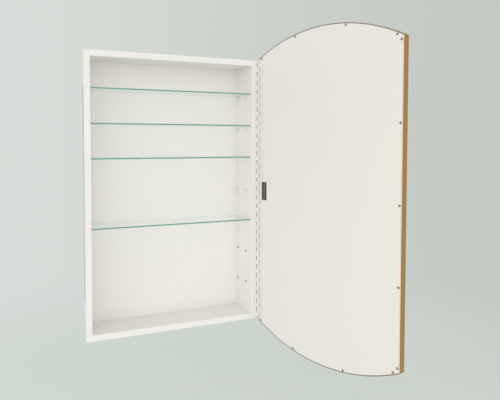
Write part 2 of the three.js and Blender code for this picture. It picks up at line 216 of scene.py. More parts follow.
def make_camera():
    data = bpy.data.cameras.new("camera")
    data.sensor_width = CAMERA_SENSOR
    data.lens = CAMERA_LENS
    data.shift_y = CAMERA_SHIFT_Y
    camera = bpy.data.objects.new("camera", data)
    turn = Matrix.Rotation(math.radians(-CAMERA_YAW), 4, "Z")
    tilt = Matrix.Rotation(math.radians(90 - CAMERA_PITCH), 4, "X")
    roll = Matrix.Rotation(math.radians(CAMERA_ROLL), 4, "Z")
    camera.matrix_world = Matrix.Translation(CAMERA_PLACE) @ turn @ tilt @ roll
    bpy.context.scene.collection.objects.link(camera)
    bpy.context.scene.camera = camera


# ---------------------------------------------------------------- node trees

class Tree:
    """A material's node tree, with short ways to add the nodes that most finishes share."""

    def __init__(self, name):
        self.material = bpy.data.materials.new(name)
        self.material.use_nodes = True
        self.nodes = self.material.node_tree.nodes
        self.links = self.material.node_tree.links
        self.nodes.clear()
        self.output = self.nodes.new("ShaderNodeOutputMaterial")

    def add(self, kind, inputs=None, **settings):
        node = self.nodes.new("ShaderNode" + kind)
        for name, value in settings.items():
            setattr(node, name, value)
        for name, value in (inputs or {}).items():
            self.feed(node.inputs[name], value)
        return node

    def feed(self, socket, value):
        if isinstance(value, bpy.types.NodeSocket):
            self.links.new(value, socket)
        else:
            socket.default_value = value

    def place(self, scale=(1, 1, 1), source="Object"):
        """Coordinates in metres, stretched by a scale."""
        coordinates = self.add("TexCoord").outputs[source]
        return self.add("Mapping", {"Vector": coordinates, "Scale": scale}).outputs["Vector"]

    def noise(self, scale, detail=3.0, vector=None):
        vector = vector or self.place()
        inputs = {"Vector": vector, "Scale": scale, "Detail": detail, "Roughness": 0.55}
        return self.add("TexNoise", inputs).outputs["Fac"]

    def spread(self, value, low, high, start=0.3, end=0.7):
        """Maps a value's start..end range to low..high."""
        inputs = {"Value": value, "From Min": start, "From Max": end, "To Min": low, "To Max": high}
        return self.add("MapRange", inputs, clamp=True).outputs["Result"]

    def blend(self, factor, first, second):
        node = self.add("Mix", data_type="RGBA")
        self.feed(node.inputs[0], factor)
        self.feed(node.inputs[6], first)
        self.feed(node.inputs[7], second)
        return node.outputs[2]

    def math(self, operation, *values):
        node = self.add("Math", operation=operation)
        for socket, value in zip(node.inputs, values):
            self.feed(socket, value)
        return node.outputs[0]

    def bump(self, height, distance, strength=1.0, normal=None):
        inputs = {"Height": height, "Distance": distance, "Strength": strength}
        if normal is not None:
            inputs["Normal"] = normal
        return self.add("Bump", inputs).outputs["Normal"]

    def principled(self, inputs):
        return self.add("BsdfPrincipled", inputs).outputs["BSDF"]

    def let_light_through(self, shader, tint):
        """Keeps a clear surface's look, but lets light pass it with only a tint."""
        clear = self.add("BsdfTransparent", {"Color": tint}).outputs["BSDF"]
        light_path = self.add("LightPath")
        for ray in ("Is Diffuse Ray", "Is Shadow Ray"):
            mix = self.add("MixShader", {0: light_path.outputs[ray], 1: shader, 2: clear})
            shader = mix.outputs["Shader"]
        return shader

    def within(self, low, high, soft):
        """1 inside a box of object coordinates and 0 outside it, with soft borders."""
        split = self.add("SeparateXYZ", {"Vector": self.place()})
        share = 1.0
        for axis, start, end in zip("XYZ", low, high):
            off_middle = self.math("SUBTRACT", split.outputs[axis], (start + end) / 2)
            half = (end - start) / 2
            side = self.spread(self.math("ABSOLUTE", off_middle), 1, 0, half - soft, half + soft)
            share = self.math("MULTIPLY", side, share)
        return share

    def finish(self, shader):
        self.links.new(shader, self.output.inputs["Surface"])
        return self.material


def colour(red, green, blue):
    return (red, green, blue, 1)


# ---------------------------------------------------------------- finishes

def painted(name, base, shade, roughness, peel_scale, peel_height, specular=0.5, shade_boxes=()):
    """Sprayed paint: faint cloudiness, fine orange peel, a few dust specks and uneven gloss.
    The last argument holds boxes, each as its low and high corners, that get the dark primer colour as
    painted shade."""
    tree = Tree(name)
    clouds = tree.noise(7, 4)
    specks = tree.spread(tree.noise(1400, 2), 0, 1, 0.72, 0.80)
    tone = tree.blend(tree.spread(clouds, 0, 1), base, shade)
    dust_and_shade = tree.blend(tree.math("MULTIPLY", specks, 0.25), tone, colour(0.50, 0.48, 0.43))
    # Painted shade: each box gets the dark primer colour
    for low, high in shade_boxes:
        dust_and_shade = tree.blend(tree.within(low, high, SHADE_BORDER), dust_and_shade, SHADE_PRIMER)
    peel = tree.noise(peel_scale, 2)
    gloss = tree.spread(tree.noise(23, 3), roughness - 0.03, roughness + 0.04)
    return tree.finish(tree.principled({
        "Base Color": dust_and_shade,
        "Roughness": gloss,
        "Specular IOR Level": specular,
        "Normal": tree.bump(peel, peel_height),
    }))


def door_back_enamel():
    """Smooth glossy enamel on thin sheet, which is never quite flat."""
    tree = Tree("door_back_enamel")
    clouds = tree.spread(tree.noise(3, 2), 0, 1)
    tone = tree.blend(clouds, colour(0.885, 0.828, 0.808), colour(0.876, 0.817, 0.793))
    waves = tree.bump(tree.noise(3, 1), 0.5 * MM, 0.2)
    peel = tree.bump(tree.noise(520, 2), 0.015 * MM, 1.0, waves)
    return tree.finish(tree.principled({
        "Base Color": tone,
        "Roughness": tree.spread(tree.noise(6, 0), 0.274, 0.286, 0, 1),
        "Specular IOR Level": 0.5,
        "Normal": peel,
    }))


def brushed_metal(name, base, shade, roughness, fine=2600, along=14, source="UV"):
    """Satin metal, brushed along its length."""
    tree = Tree(name)
    strokes = tree.place((fine, along, fine), source)
    fine_lines = tree.noise(1.0, 3, strokes)
    broad_lines = tree.noise(0.12, 2, strokes)
    fine_share = tree.math("MULTIPLY", fine_lines, 0.6)
    broad_share = tree.math("MULTIPLY", broad_lines, 0.4)
    mixed = tree.math("ADD", fine_share, broad_share)
    tone = tree.blend(tree.spread(mixed, 0, 1, 0.35, 0.65), base, shade)
    return tree.finish(tree.principled({
        "Base Color": tone,
        "Metallic": 1.0,
        "Roughness": tree.spread(mixed, roughness - 0.06, roughness + 0.1, 0.35, 0.65),
        "Normal": tree.bump(fine_lines, 0.012 * MM),
    }))


def plain_metal(name, base, shade, roughness, scale):
    """Plated or drawn steel with fine mottling."""
    tree = Tree(name)
    mottle = tree.noise(scale, 4)
    return tree.finish(tree.principled({
        "Base Color": tree.blend(tree.spread(mottle, 0, 1), base, shade),
        "Metallic": 1.0,
        "Roughness": tree.spread(tree.noise(scale * 0.4, 3), roughness - 0.08, roughness + 0.1),
        "Normal": tree.bump(mottle, 0.01 * MM),
    }))


def silvered_glass():
    """Mirror: silver behind float glass, with a trace of haze."""
    tree = Tree("silvered_glass")
    haze = tree.noise(11, 5)
    tone = tree.blend(tree.spread(haze, 0, 1), colour(0.90, 0.925, 0.915), colour(0.87, 0.90, 0.89))
    return tree.finish(tree.principled({
        "Base Color": tone,
        "Metallic": 1.0,
        "Roughness": tree.spread(haze, 0.012, 0.03),
    }))


def glass_face():
    """The clear faces of a shelf: nearly colourless, with reflections that grow at low angles.
    Light passes it freely, so that the shelves throw hardly any shadow."""
    tree = Tree("glass_face")
    smears = tree.noise(30, 5)
    clear = tree.add("BsdfTransparent", {"Color": colour(0.985, 0.996, 0.992)}).outputs["BSDF"]
    tone = tree.blend(tree.spread(smears, 0, 1), colour(0.97, 0.985, 0.98), colour(0.93, 0.95, 0.945))
    shine = tree.principled({
        "Base Color": tone,
        "Metallic": 1.0,
        "Roughness": tree.spread(smears, 0.02, 0.06),
    })
    fresnel = tree.add("Fresnel", {"IOR": 1.45}).outputs["Fac"]
    from_outside = tree.math("SUBTRACT", 1.0, tree.add("NewGeometry").outputs["Backfacing"])
    gloss = tree.math("MULTIPLY", fresnel, from_outside)
    seen = tree.add("MixShader", {0: gloss, 1: clear, 2: shine}).outputs["Shader"]
    return tree.finish(tree.let_light_through(seen, colour(0.985, 0.995, 0.99)))


def glass_edge():
    """A polished shelf edge, in painted light: its middle is painted dark sea-green for the long look
    through the glass, and its rounded borders pale as painted reflections; from inside it is nearly
    clear."""
    tree = Tree("glass_edge")
    uv = tree.add("SeparateXYZ", {"Vector": tree.place(source="UV")})
    from_core = tree.math("ABSOLUTE", tree.math("SUBTRACT", uv.outputs["Y"], EDGE_CORE))
    streaks = tree.spread(tree.noise(1.0, 4, tree.place((30, 30, 1))), 0, 1)
    # Painted light: the dark core stands for the look through the glass, the pale border for
    # reflections
    core = tree.blend(streaks, colour(0.145, 0.305, 0.25), colour(0.19, 0.37, 0.305))
    border = tree.blend(streaks, colour(0.56, 0.86, 0.77), colour(0.64, 0.90, 0.82))
    edge = tree.principled({
        "Base Color": tree.blend(tree.spread(from_core, 0, 1, *EDGE_FADE), core, border),
        "Roughness": tree.spread(tree.noise(200, 2), 0.12, 0.25),
        "Coat Weight": 0.5,
        "Coat Roughness": 0.06,
    })
    inside = tree.add("BsdfTransparent", {"Color": colour(0.86, 0.95, 0.92)}).outputs["BSDF"]
    back = tree.add("NewGeometry").outputs["Backfacing"]
    seen = tree.add("MixShader", {0: back, 1: edge, 2: inside}).outputs["Shader"]
    return tree.finish(tree.let_light_through(seen, colour(0.85, 0.93, 0.90)))


def hardboard():
    """Brown pressed fibre."""
    tree = Tree("hardboard")
    fibres = tree.noise(1.0, 6, tree.place((260, 700, 90)))
    tone = tree.blend(tree.spread(fibres, 0, 1), colour(0.20, 0.115, 0.055), colour(0.30, 0.185, 0.10))
    return tree.finish(tree.principled({
        "Base Color": tone,
        "Roughness": tree.spread(fibres, 0.75, 0.95),
        "Normal": tree.bump(fibres, 0.1 * MM),
    }))


def charcoal_plate():
    """Matt charcoal plate with a paler, mottled stripe down its middle."""
    tree = Tree("charcoal_plate")
    uv = tree.add("SeparateXYZ", {"Vector": tree.place(source="UV")})
    from_middle = tree.math("ABSOLUTE", tree.math("SUBTRACT", uv.outputs["X"], 0.5))
    stripe = tree.spread(from_middle, 1, 0, 0.08, 0.14)
    paler_middle = tree.math("MULTIPLY", stripe, tree.spread(tree.noise(420, 4), 0.3, 0.95, 0.35, 0.65))
    grain = tree.noise(1800, 2)
    tone = tree.blend(paler_middle, colour(0.014, 0.0135, 0.012), colour(0.35, 0.345, 0.32))
    return tree.finish(tree.principled({
        "Base Color": tone,
        "Roughness": tree.spread(grain, 0.42, 0.6),
        "Normal": tree.bump(grain, 0.03 * MM),
    }))


def studio_floor():
    """A pale floor that fades into the background far from the object."""
    tree = Tree("studio_floor")
    place = tree.place()
    distance = tree.add("VectorMath", {0: place}, operation="LENGTH").outputs["Value"]
    limits = {"Value": distance, "From Min": FLOOR_FADE[0], "From Max": FLOOR_FADE[1]}
    fade = tree.add("MapRange", limits, interpolation_type="SMOOTHERSTEP").outputs["Result"]
    tone = tree.blend(tree.noise(3, 3), colour(0.80, 0.84, 0.82), colour(0.82, 0.86, 0.84))
    floor = tree.principled({
        "Base Color": tone,
        "Roughness": tree.spread(tree.noise(9, 4), 0.75, 0.9),
        "Specular IOR Level": 0.2,
    })
    gone = tree.add("BsdfTransparent").outputs["BSDF"]
    mix = tree.add("MixShader", {0: fade, 1: floor, 2: gone})
    return tree.finish(mix.outputs["Shader"])


def painted_shade_places(side):
    """Where a side wall gets painted shade in dark primer: the cut faces of its slots and, on the
    hinge's side, the strip of flange behind the knuckles."""
    low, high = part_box("right_side_panel")
    inner = max(abs(corner.x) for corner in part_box("top_panel")) - FLANGE_AT_HINGE
    reach = KNUCKLE_COUNT * KNUCKLE_PITCH / 2 - SHADE_STRIP_OVERRUN
    near, far = sorted((side * (inner + SHADE_INSET), side * (inner + SHEET - SHADE_INSET)))
    places = []
    for depth in SLOT_DEPTHS:
        front = low.y + depth - SLOT_COLUMN / 2
        places.append(((near, front, -reach), (far, front + SLOT_COLUMN, reach)))
    if side > 0:
        strip = (high.x - SHADE_STRIP_WIDTH, high.x + SHADE_STRIP_OVERRUN)
        front, back = (low.y + depth for depth in SHADE_STRIP_DEPTHS)
        places.append(((strip[0], front, -reach), (strip[1], back, reach)))
    return places


def powder_coat(name, shade_boxes=()):
    base, shade = colour(0.905, 0.868, 0.848), colour(0.894, 0.856, 0.834)
    return painted(
        name, base, shade, roughness=0.42, peel_scale=620, peel_height=0.03 * MM, shade_boxes=shade_boxes
    )


cabinet_paint = powder_coat("powder_coat")
# The side walls carry painted shade at their slots and, on the hinge's side, behind the knuckles
side_paints = {
    "left_side_panel": powder_coat("powder_coat_left_side", painted_shade_places(-1)),
    "right_side_panel": powder_coat("powder_coat_right_side", painted_shade_places(1)),
}
clip_paint = painted(
    "clip_enamel", colour(0.86, 0.83, 0.815), colour(0.83, 0.80, 0.785),
    roughness=0.33, peel_scale=900, peel_height=0.02 * MM,
)
hinge_paint = painted(
    "hinge_enamel", colour(0.86, 0.822, 0.80), colour(0.835, 0.797, 0.775),
    roughness=0.34, peel_scale=900, peel_height=0.02 * MM,
)
# Painted shade: a mid grey for the hinge stile's rim, which shows through the hinge's notches
hinge_rim_shade = painted(
    "hinge_rim_shade", colour(0.50, 0.485, 0.465), colour(0.44, 0.425, 0.405),
    roughness=0.5, peel_scale=700, peel_height=0.03 * MM, specular=0.35,
)
# Painted shade: nearly black for the channels' insides, so that the slots in the walls look dark
channel_primer = painted(
    "channel_primer", colour(0.025, 0.025, 0.027), colour(0.018, 0.018, 0.02),
    roughness=0.6, peel_scale=700, peel_height=0.04 * MM, specular=0.3,
)
channel_coat = painted(
    "channel_coat", colour(0.69, 0.68, 0.65), colour(0.64, 0.63, 0.60),
    roughness=0.5, peel_scale=700, peel_height=0.04 * MM,
)
back_paint = door_back_enamel()
frame_gold = brushed_metal(
    "satin_gold", colour(0.70, 0.395, 0.152), colour(0.605, 0.33, 0.12), roughness=0.38
)
# Painted shade: a darker, duller gold for the arches' rims
arch_rim_shade = brushed_metal(
    "arch_rim_painted_shade", colour(0.43, 0.35, 0.27), colour(0.36, 0.29, 0.22), roughness=0.5
)
# Painted highlight: a pale cream for the free stile's rim, as where light catches it
free_rim_highlight = painted(
    "free_rim_painted_highlight", colour(0.93, 0.77, 0.56), colour(0.89, 0.72, 0.50),
    roughness=0.3, peel_scale=900, peel_height=0.02 * MM,
)
screw_zinc = plain_metal(
    "zinc_plate", colour(0.50, 0.445, 0.42), colour(0.36, 0.32, 0.30), roughness=0.36, scale=900
)
pin_steel = brushed_metal(
    "drawn_steel", colour(0.58, 0.58, 0.56), colour(0.48, 0.48, 0.46),
    roughness=0.3, fine=1500, along=20, source="Object",
)
# Each rim's painted shade or painted highlight
rim_light_and_shade = {
    "frame_hinge_stile": hinge_rim_shade,
    "frame_free_stile": free_rim_highlight,
    "frame_upper_arch": arch_rim_shade,
    "frame_lower_arch": arch_rim_shade,
}
mirror_silver = silvered_glass()
shelf_face = glass_face()
shelf_edge = glass_edge()
board_brown = hardboard()
plate_charcoal = charcoal_plate()


# ---------------------------------------------------------------- the door's own frame

hinge = next(joint for joint in frame["joints"] if joint["name"] == "door_hinge")
open_turn = Matrix.Rotation(math.radians(-hinge["range_deg"][0]), 4, "Z")
door_frame = Matrix.Translation(Vector(hinge["pos_m"])) @ open_turn
door_frame_inverse = door_frame.inverted()


def door_box(node):
    """A door node's lowest and highest corners, with the door turned shut and the hinge axis at the
    origin."""
    points = [door_frame_inverse @ vertex.co for vertex in frame["nodes"][node].data.vertices]
    low = Vector(min(point[axis] for point in points) for axis in range(3))
    high = Vector(max(point[axis] for point in points) for axis in range(3))
    return low, high


free_low, free_high = door_box("frame_free_stile")
arch_high = door_box("frame_upper_arch")[1]
DOOR_WIDTH = -free_low.x
HINGE_OFFSET = -free_high.y
DOOR_THICKNESS = free_high.y - free_low.y
CORNER_Z = free_high.z + MITRE_GAP
ARCH_RISE = arch_high.z - CORNER_Z
ARCH_RADIUS = (DOOR_WIDTH ** 2 / 4 + ARCH_RISE ** 2) / (2 * ARCH_RISE)
ARCH_CENTRE_Z = CORNER_Z + ARCH_RISE - ARCH_RADIUS


def door_point(across, depth, z):
    """across runs from the hinge edge to the free edge, depth from the back face to the mirror face."""
    return door_frame @ Vector((-across, -HINGE_OFFSET - depth, z))


def corner_z(inset):
    return ARCH_CENTRE_Z + math.sqrt((ARCH_RADIUS - inset) ** 2 - (DOOR_WIDTH / 2 - inset) ** 2)


def arch_point(inset, share, gap=0.0):
    """A point of the upper arch drawn in by an inset; share runs from -1 at the hinge side to 1."""
    radius = ARCH_RADIUS - inset
    reach = math.asin((DOOR_WIDTH / 2 - inset) / radius) - gap / radius
    angle = share * reach
    return DOOR_WIDTH / 2 + radius * math.sin(angle), ARCH_CENTRE_Z + radius * math.cos(angle)


arch_shares = [2 * step / ARCH_STEPS - 1 for step in range(ARCH_STEPS + 1)]


def barrel_outline(inset):
    upper = [arch_point(inset, share) for share in arch_shares]
    return upper + [(across, -z) for across, z in reversed(upper)]


# ---------------------------------------------------------------- mesh building

def loft(name, rings, materials, band_material=None):
    """A closed body through rings of points. Its ends have the first material, and so have its bands
    unless band_material says otherwise. Its UVs are in metres: round the ring, and along the body."""
    mesh = bmesh.new()
    uv_layer = mesh.loops.layers.uv.new("Metres")
    rows = [[mesh.verts.new(point) for point in ring] for ring in rings]
    count = len(rings[0])
    around = [0.0]
    for i in range(count):
        around.append(around[-1] + (rings[0][(i + 1) % count] - rings[0][i]).length)
    lengthwise = [0.0]
    for before, after in zip(rings, rings[1:]):
        lengthwise.append(lengthwise[-1] + (after[0] - before[0]).length)
    for r in range(len(rows) - 1):
        for i in range(count):
            j = (i + 1) % count
            face = mesh.faces.new((rows[r][i], rows[r][j], rows[r + 1][j], rows[r + 1][i]))
            face.material_index = band_material(r) if band_material else 0
            corners = ((i, r), (i + 1, r), (i + 1, r + 1), (i, r + 1))
            for loop, (u, v) in zip(face.loops, corners):
                loop[uv_layer].uv = (around[u], lengthwise[v])
    for row in (rows[0], rows[-1]):
        mesh.faces.new(row)
    bmesh.ops.recalc_face_normals(mesh, faces=mesh.faces)
    return to_object(name, mesh, materials)


def to_object(name, mesh, materials, smooth_angle=35):
    data = bpy.data.meshes.new(name)
    mesh.to_mesh(data)
    mesh.free()
    for material in materials:
        data.materials.append(material)
    smooth(data, smooth_angle)
    piece = bpy.data.objects.new(name, data)
    bpy.context.scene.collection.objects.link(piece)
    return piece


def smooth(data, angle):
    for polygon in data.polygons:
        polygon.use_smooth = True
    data.set_sharp_from_angle(angle=math.radians(angle))


def soften(piece, width, angle=30):
    """Rounds the edges of a piece that are sharper than an angle in degrees."""
    bevel = piece.modifiers.new("soft_edges", "BEVEL")
    bevel.width = width
    bevel.segments = BEVEL_SEGMENTS
    bevel.limit_method = "ANGLE"
    bevel.angle_limit = math.radians(angle)
    bevel.harden_normals = True


def settle(piece, body, slot, *nodes):
    """Puts a finished piece on its body, in place of the CAD nodes that it stands for."""
    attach(piece, body)
    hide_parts(*nodes)


# ---------------------------------------------------------------- carried-over CAD nodes

def refinish(node, material, edge):
    """Gives a CAD node its finish and small rounded edges."""
    piece = frame["nodes"][node]
    piece.data.materials.clear()
    piece.data.materials.append(material)
    weld = piece.modifiers.new("weld", "WELD")
    weld.merge_threshold = 0.002 * MM
    merge = piece.modifiers.new("merge_flat_faces", "DECIMATE")
    merge.decimate_type = "DISSOLVE"
    merge.angle_limit = math.radians(1)
    soften(piece, edge)


def box_panels():
    for node in frame["nodes"]:
        if node.endswith("_panel"):
            refinish(node, side_paints.get(node, cabinet_paint), PANEL_EDGE)
        elif node.startswith("slot_channel"):
            refinish(node, channel_primer, CHANNEL_EDGE)
            paint_channel_outside(node)
    refinish("hinge_pin", pin_steel, SMALL_EDGE)
    refinish("backing_board", board_brown, SMALL_EDGE)


def paint_channel_outside(node):
    """A channel's outside has a pale grey coat, and its inside keeps the nearly black painted shade."""
    low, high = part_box(node)
    middle_y = (low.y + high.y) / 2
    crown = max(abs(low.x), abs(high.x))
    data = frame["nodes"][node].data
    data.materials.append(channel_coat)
    for face in data.polygons:
        beside = abs(face.center.y - middle_y) < CHANNEL_INSIDE / 2 + CHANNEL_STEEL / 4
        beneath = abs(face.center.x) < crown - CHANNEL_STEEL * 3 / 4
        at_end = abs(face.normal.z) >= 0.5
        face.material_index = 0 if beside and beneath and not at_end else 1


# ---------------------------------------------------------------- shelves and clips

def rounded_rectangle(low, high, inset, radius, z):
    """A ring at height z round a rectangle with rounded corners, drawn in by an inset."""
    ring = []
    corners = ((1, 1), (-1, 1), (-1, -1), (1, -1))
    for quarter, (side_x, side_y) in enumerate(corners):
        centre_x = (high.x - radius if side_x > 0 else low.x + radius)
        centre_y = (high.y - radius if side_y > 0 else low.y + radius)
        for step in range(CORNER_STEPS + 1):
            angle = math.radians(90) * (quarter + step / CORNER_STEPS)
            x = centre_x + (radius - inset) * math.cos(angle)
            y = centre_y + (radius - inset) * math.sin(angle)
            ring.append(Vector((x, y, z)))
    return ring


def glass_shelves():
    """Plates with clear faces and round-polished blue-green edges."""
    turns = [math.radians(90) * step / POLISH_STEPS for step in range(POLISH_STEPS + 1)]
    for number in range(1, SHELF_COUNT + 1):
        node = f"glass_shelf_{number}"
        low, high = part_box(node)
        levels = []
        for turn in turns:
            inset, rise = SHELF_POLISH * (1 - math.sin(turn)), SHELF_POLISH * (1 - math.cos(turn))
            levels.append((inset, low.z + rise))
        for turn in turns:
            inset, drop = SHELF_POLISH * (1 - math.cos(turn)), SHELF_POLISH * (1 - math.sin(turn))
            levels.append((inset, high.z - drop))
        rings = [rounded_rectangle(low, high, inset, SHELF_CORNER, z) for inset, z in levels]
        pane = loft(f"shelf_pane_{number}", rings, [shelf_face, shelf_edge], lambda band: 1)
        settle(pane, f"shelf_{number}", "shelf_glass", node)


def filleted(corners):
    """An outline of square corners, each given as (across, up, radius), with the corners rounded."""
    count = len(corners)
    outline = []
    for i, (x, y, radius) in enumerate(corners):
        point = Vector((x, y))
        before = (Vector(corners[i - 1][:2]) - point).normalized()
        after = (Vector(corners[(i + 1) % count][:2]) - point).normalized()
        centre = point + (before + after) * radius
        for step in range(BEND_STEPS + 1):
            angle = math.radians(90) * step / BEND_STEPS
            towards = after * radius * math.cos(angle) + before * radius * math.sin(angle)
            outline.append(centre - towards)
    return outline


def shelf_clips():
    """Bent steel clips: a ledge under the glass, a leg down the wall and a tongue hooked behind the
    slot."""
    section = filleted(CLIP_SECTION)
    for node in [name for name in frame["nodes"] if "_clip_" in name]:
        low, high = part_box(node)
        side = 1 if high.x > 0 else -1
        wall_x = max(high.x, -low.x) - CLIP_BEHIND_WALL
        row_z = high.z - CLIP_HOOK_TOP
        rings = [
            [Vector((side * (wall_x - point.x * MM), y, row_z + point.y * MM)) for point in section]
            for y in (low.y, high.y)
        ]
        clip = loft(node.replace("clip", "support"), rings, [clip_paint])
        soften(clip, CLIP_EDGE)
        settle(clip, "cabinet", "clip_paint", node)


# ---------------------------------------------------------------- hinge

def arc(centre, radius, start, end, steps):
    """Points of an arc between two angles in degrees."""
    angles = [math.radians(start + (end - start) * step / steps) for step in range(steps + 1)]
    return [(centre[0] + radius * math.cos(a), centre[1] + radius * math.sin(a)) for a in angles]


def knuckle_section():
    """The leaf bends up into the knuckle, runs round the pin and ends against its own back."""
    under = KNUCKLE_RADIUS - LEAF_STEEL
    reach = KNUCKLE_RADIUS + CURL_BEND
    bend_centre = (-math.sqrt(reach ** 2 - (under - CURL_BEND) ** 2), under - CURL_BEND)
    meeting = math.degrees(math.atan2(bend_centre[1], bend_centre[0]))
    root = -NOTCH_DEPTH - TAB_OVERLAP
    bend = arc(bend_centre, CURL_BEND, 90, meeting - 180, BEND_TURN_STEPS)
    outside = arc((0, 0), KNUCKLE_RADIUS, meeting, 360 + CURL_END, CURL_STEPS)
    inside = arc((0, 0), BORE_RADIUS, 360 + CURL_END, CURL_MOUTH, CURL_STEPS)
    mouth = (-CURL_MOUTH_REACH, KNUCKLE_RADIUS)
    return [(root, under)] + bend + outside[1:] + inside + [mouth, (root, KNUCKLE_RADIUS)]


def hinge_leaf(name, node, parity, facing, place):
    """A leaf strip with every second knuckle rolled from it."""
    low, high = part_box(node)
    half = (high.z - low.z) / 2
    faces = sorted((facing * KNUCKLE_RADIUS, facing * (KNUCKLE_RADIUS - LEAF_STEEL)))
    strip = (
        (-LEAF_WIDTH, faces[0]),
        (-NOTCH_DEPTH, faces[0]),
        (-NOTCH_DEPTH, faces[1]),
        (-LEAF_WIDTH, faces[1]),
    )
    ends = [[place(x, y, z) for x, y in strip] for z in (-half, half)]
    leaf = loft(name, ends, [hinge_paint])
    knuckles = []
    for index in range(parity, KNUCKLE_COUNT, 2):
        top = half - index * KNUCKLE_PITCH - KNUCKLE_END_GAP / 2
        bottom = top - KNUCKLE_PITCH + KNUCKLE_END_GAP
        rings = [[place(x, facing * y, z) for x, y in knuckle_section()] for z in (bottom, top)]
        knuckles.append(loft("knuckle", rings, [hinge_paint]))
    combine(leaf, knuckles, "UNION")
    smooth(leaf.data, 30)
    soften(leaf, LEAF_EDGE, 40)
    return leaf


def combine(piece, others, operation):
    """Joins the others to a piece, or cuts them out of it, and removes them."""
    for other in others:
        boolean = piece.modifiers.new("combine", "BOOLEAN")
        boolean.operation = operation
        boolean.solver = "EXACT"
        boolean.object = other
    bake_modifiers(piece)
    for other in others:
        bpy.data.objects.remove(other)


def bake_modifiers(piece):
    """Replaces a piece's mesh with its modified one."""
    graph = bpy.context.evaluated_depsgraph_get()
    graph.update()
    piece.data = bpy.data.meshes.new_from_object(piece.evaluated_get(graph), depsgraph=graph)
    piece.modifiers.clear()


def hinge_leaves():
    axis = Vector(hinge["pos_m"])
    fixed = hinge_leaf(
        "fixed_leaf", "hinge_fixed_leaf", 1, 1, lambda x, y, z: axis + Vector((x, y, z))
    )
    settle(fixed, "cabinet", "hinge_paint", "hinge_fixed_leaf")
    moving = hinge_leaf(
        "moving_leaf", "hinge_door_leaf", 0, -1, lambda x, y, z: door_frame @ Vector((x, y, z))
    )
    settle(moving, "door", "hinge_paint", "hinge_door_leaf")


# ---------------------------------------------------------------- door

def depths(node):
    """How far a door node's back and front lie behind the door's back face."""
    low, high = door_box(node)
    return -HINGE_OFFSET - high.y, -HINGE_OFFSET - low.y


def frame_section():
    """(inset, depth) round the frame: rim, land, mirror groove, front lip and rounded nose."""
    land_back = depths("door_back_sheet")[1] + FIT_GAP
    land_front = depths("backing_board")[0] - FIT_GAP
    lip_back = DOOR_THICKNESS - LIP_THICKNESS
    nose = []
    for step in range(NOSE_STEPS + 1):
        angle = math.radians(90) * (1 + step / NOSE_STEPS)
        depth = DOOR_THICKNESS - NOSE_RADIUS + NOSE_RADIUS * math.sin(angle)
        nose.append((NOSE_RADIUS + NOSE_RADIUS * math.cos(angle), depth))
    return [
        (0, 0),
        (RIM, 0),
        (RIM, land_back),
        (LAND_WIDTH, land_back),
        (LAND_WIDTH, land_front),
        (RIM, land_front),
        (RIM, lip_back),
        (LIP_WIDTH, lip_back),
        (LIP_WIDTH, DOOR_THICKNESS),
        *nose,
    ]


def frame_member(name, node, rings):
    member = loft(name, rings, [frame_gold, rim_light_and_shade[node]])
    mark_rim(member.data)
    soften(member, SMALL_EDGE, 40)
    settle(member, "door", "frame_gold", node)


def mark_rim(data):
    """The rim's narrow back edge gets a material of its own, unlike the rest of the frame: painted
    shade or a painted highlight.
    """
    back_normal = door_frame.to_3x3() @ Vector((0, 1, 0))
    for face in data.polygons:
        depth = -HINGE_OFFSET - (door_frame_inverse @ face.center).y
        if face.normal.dot(back_normal) > RIM_FACING and depth < RIM_DEPTH:
            face.material_index = 1


def door_frame_members():
    section = frame_section()
    for side, node in (("hinge", "frame_hinge_stile"), ("free", "frame_free_stile")):
        rings = []
        for end in (-1, 1):
            ring = []
            for inset, depth in section:
                across = inset if side == "hinge" else DOOR_WIDTH - inset
                ring.append(door_point(across, depth, end * (corner_z(inset) - MITRE_GAP)))
            rings.append(ring)
        frame_member(f"gold_{side}_stile", node, rings)
    for side, node in ((1, "frame_upper_arch"), (-1, "frame_lower_arch")):
        rings = []
        for share in arch_shares:
            points = [arch_point(inset, share, MITRE_GAP) + (depth,) for inset, depth in section]
            rings.append([door_point(across, depth, side * z) for across, z, depth in points])
        frame_member("gold_" + node.replace("frame_", ""), node, rings)


def barrel_plate(name, levels, materials, band_material=None):
    """A plate of the door's outline through levels, each an inset and a depth."""
    rings = []
    for inset, depth in levels:
        rings.append([door_point(across, depth, z) for across, z in barrel_outline(inset)])
    return loft(name, rings, materials, band_material)


def door_plates():
    """The mirror, with a ground edge and a silvered bevel and face, and the door's back sheet."""
    inset = RIM + FIT_GAP
    back, front = depths("mirror_glass")
    levels = [(inset, back), (inset, back + MIRROR_EDGE), (inset + MIRROR_BEVEL, front)]
    mirror = barrel_plate("mirror_pane", levels, [mirror_silver, shelf_edge], lambda band: 1 - band)
    smooth(mirror.data, 1)
    settle(mirror, "door", "mirror", "mirror_glass")
    back, front = depths("door_back_sheet")
    sheet = barrel_plate("back_cover_sheet", [(inset, back), (inset, front)], [back_paint])
    soften(sheet, SMALL_EDGE, 40)
    settle(sheet, "door", "door_back_paint", "door_back_sheet")


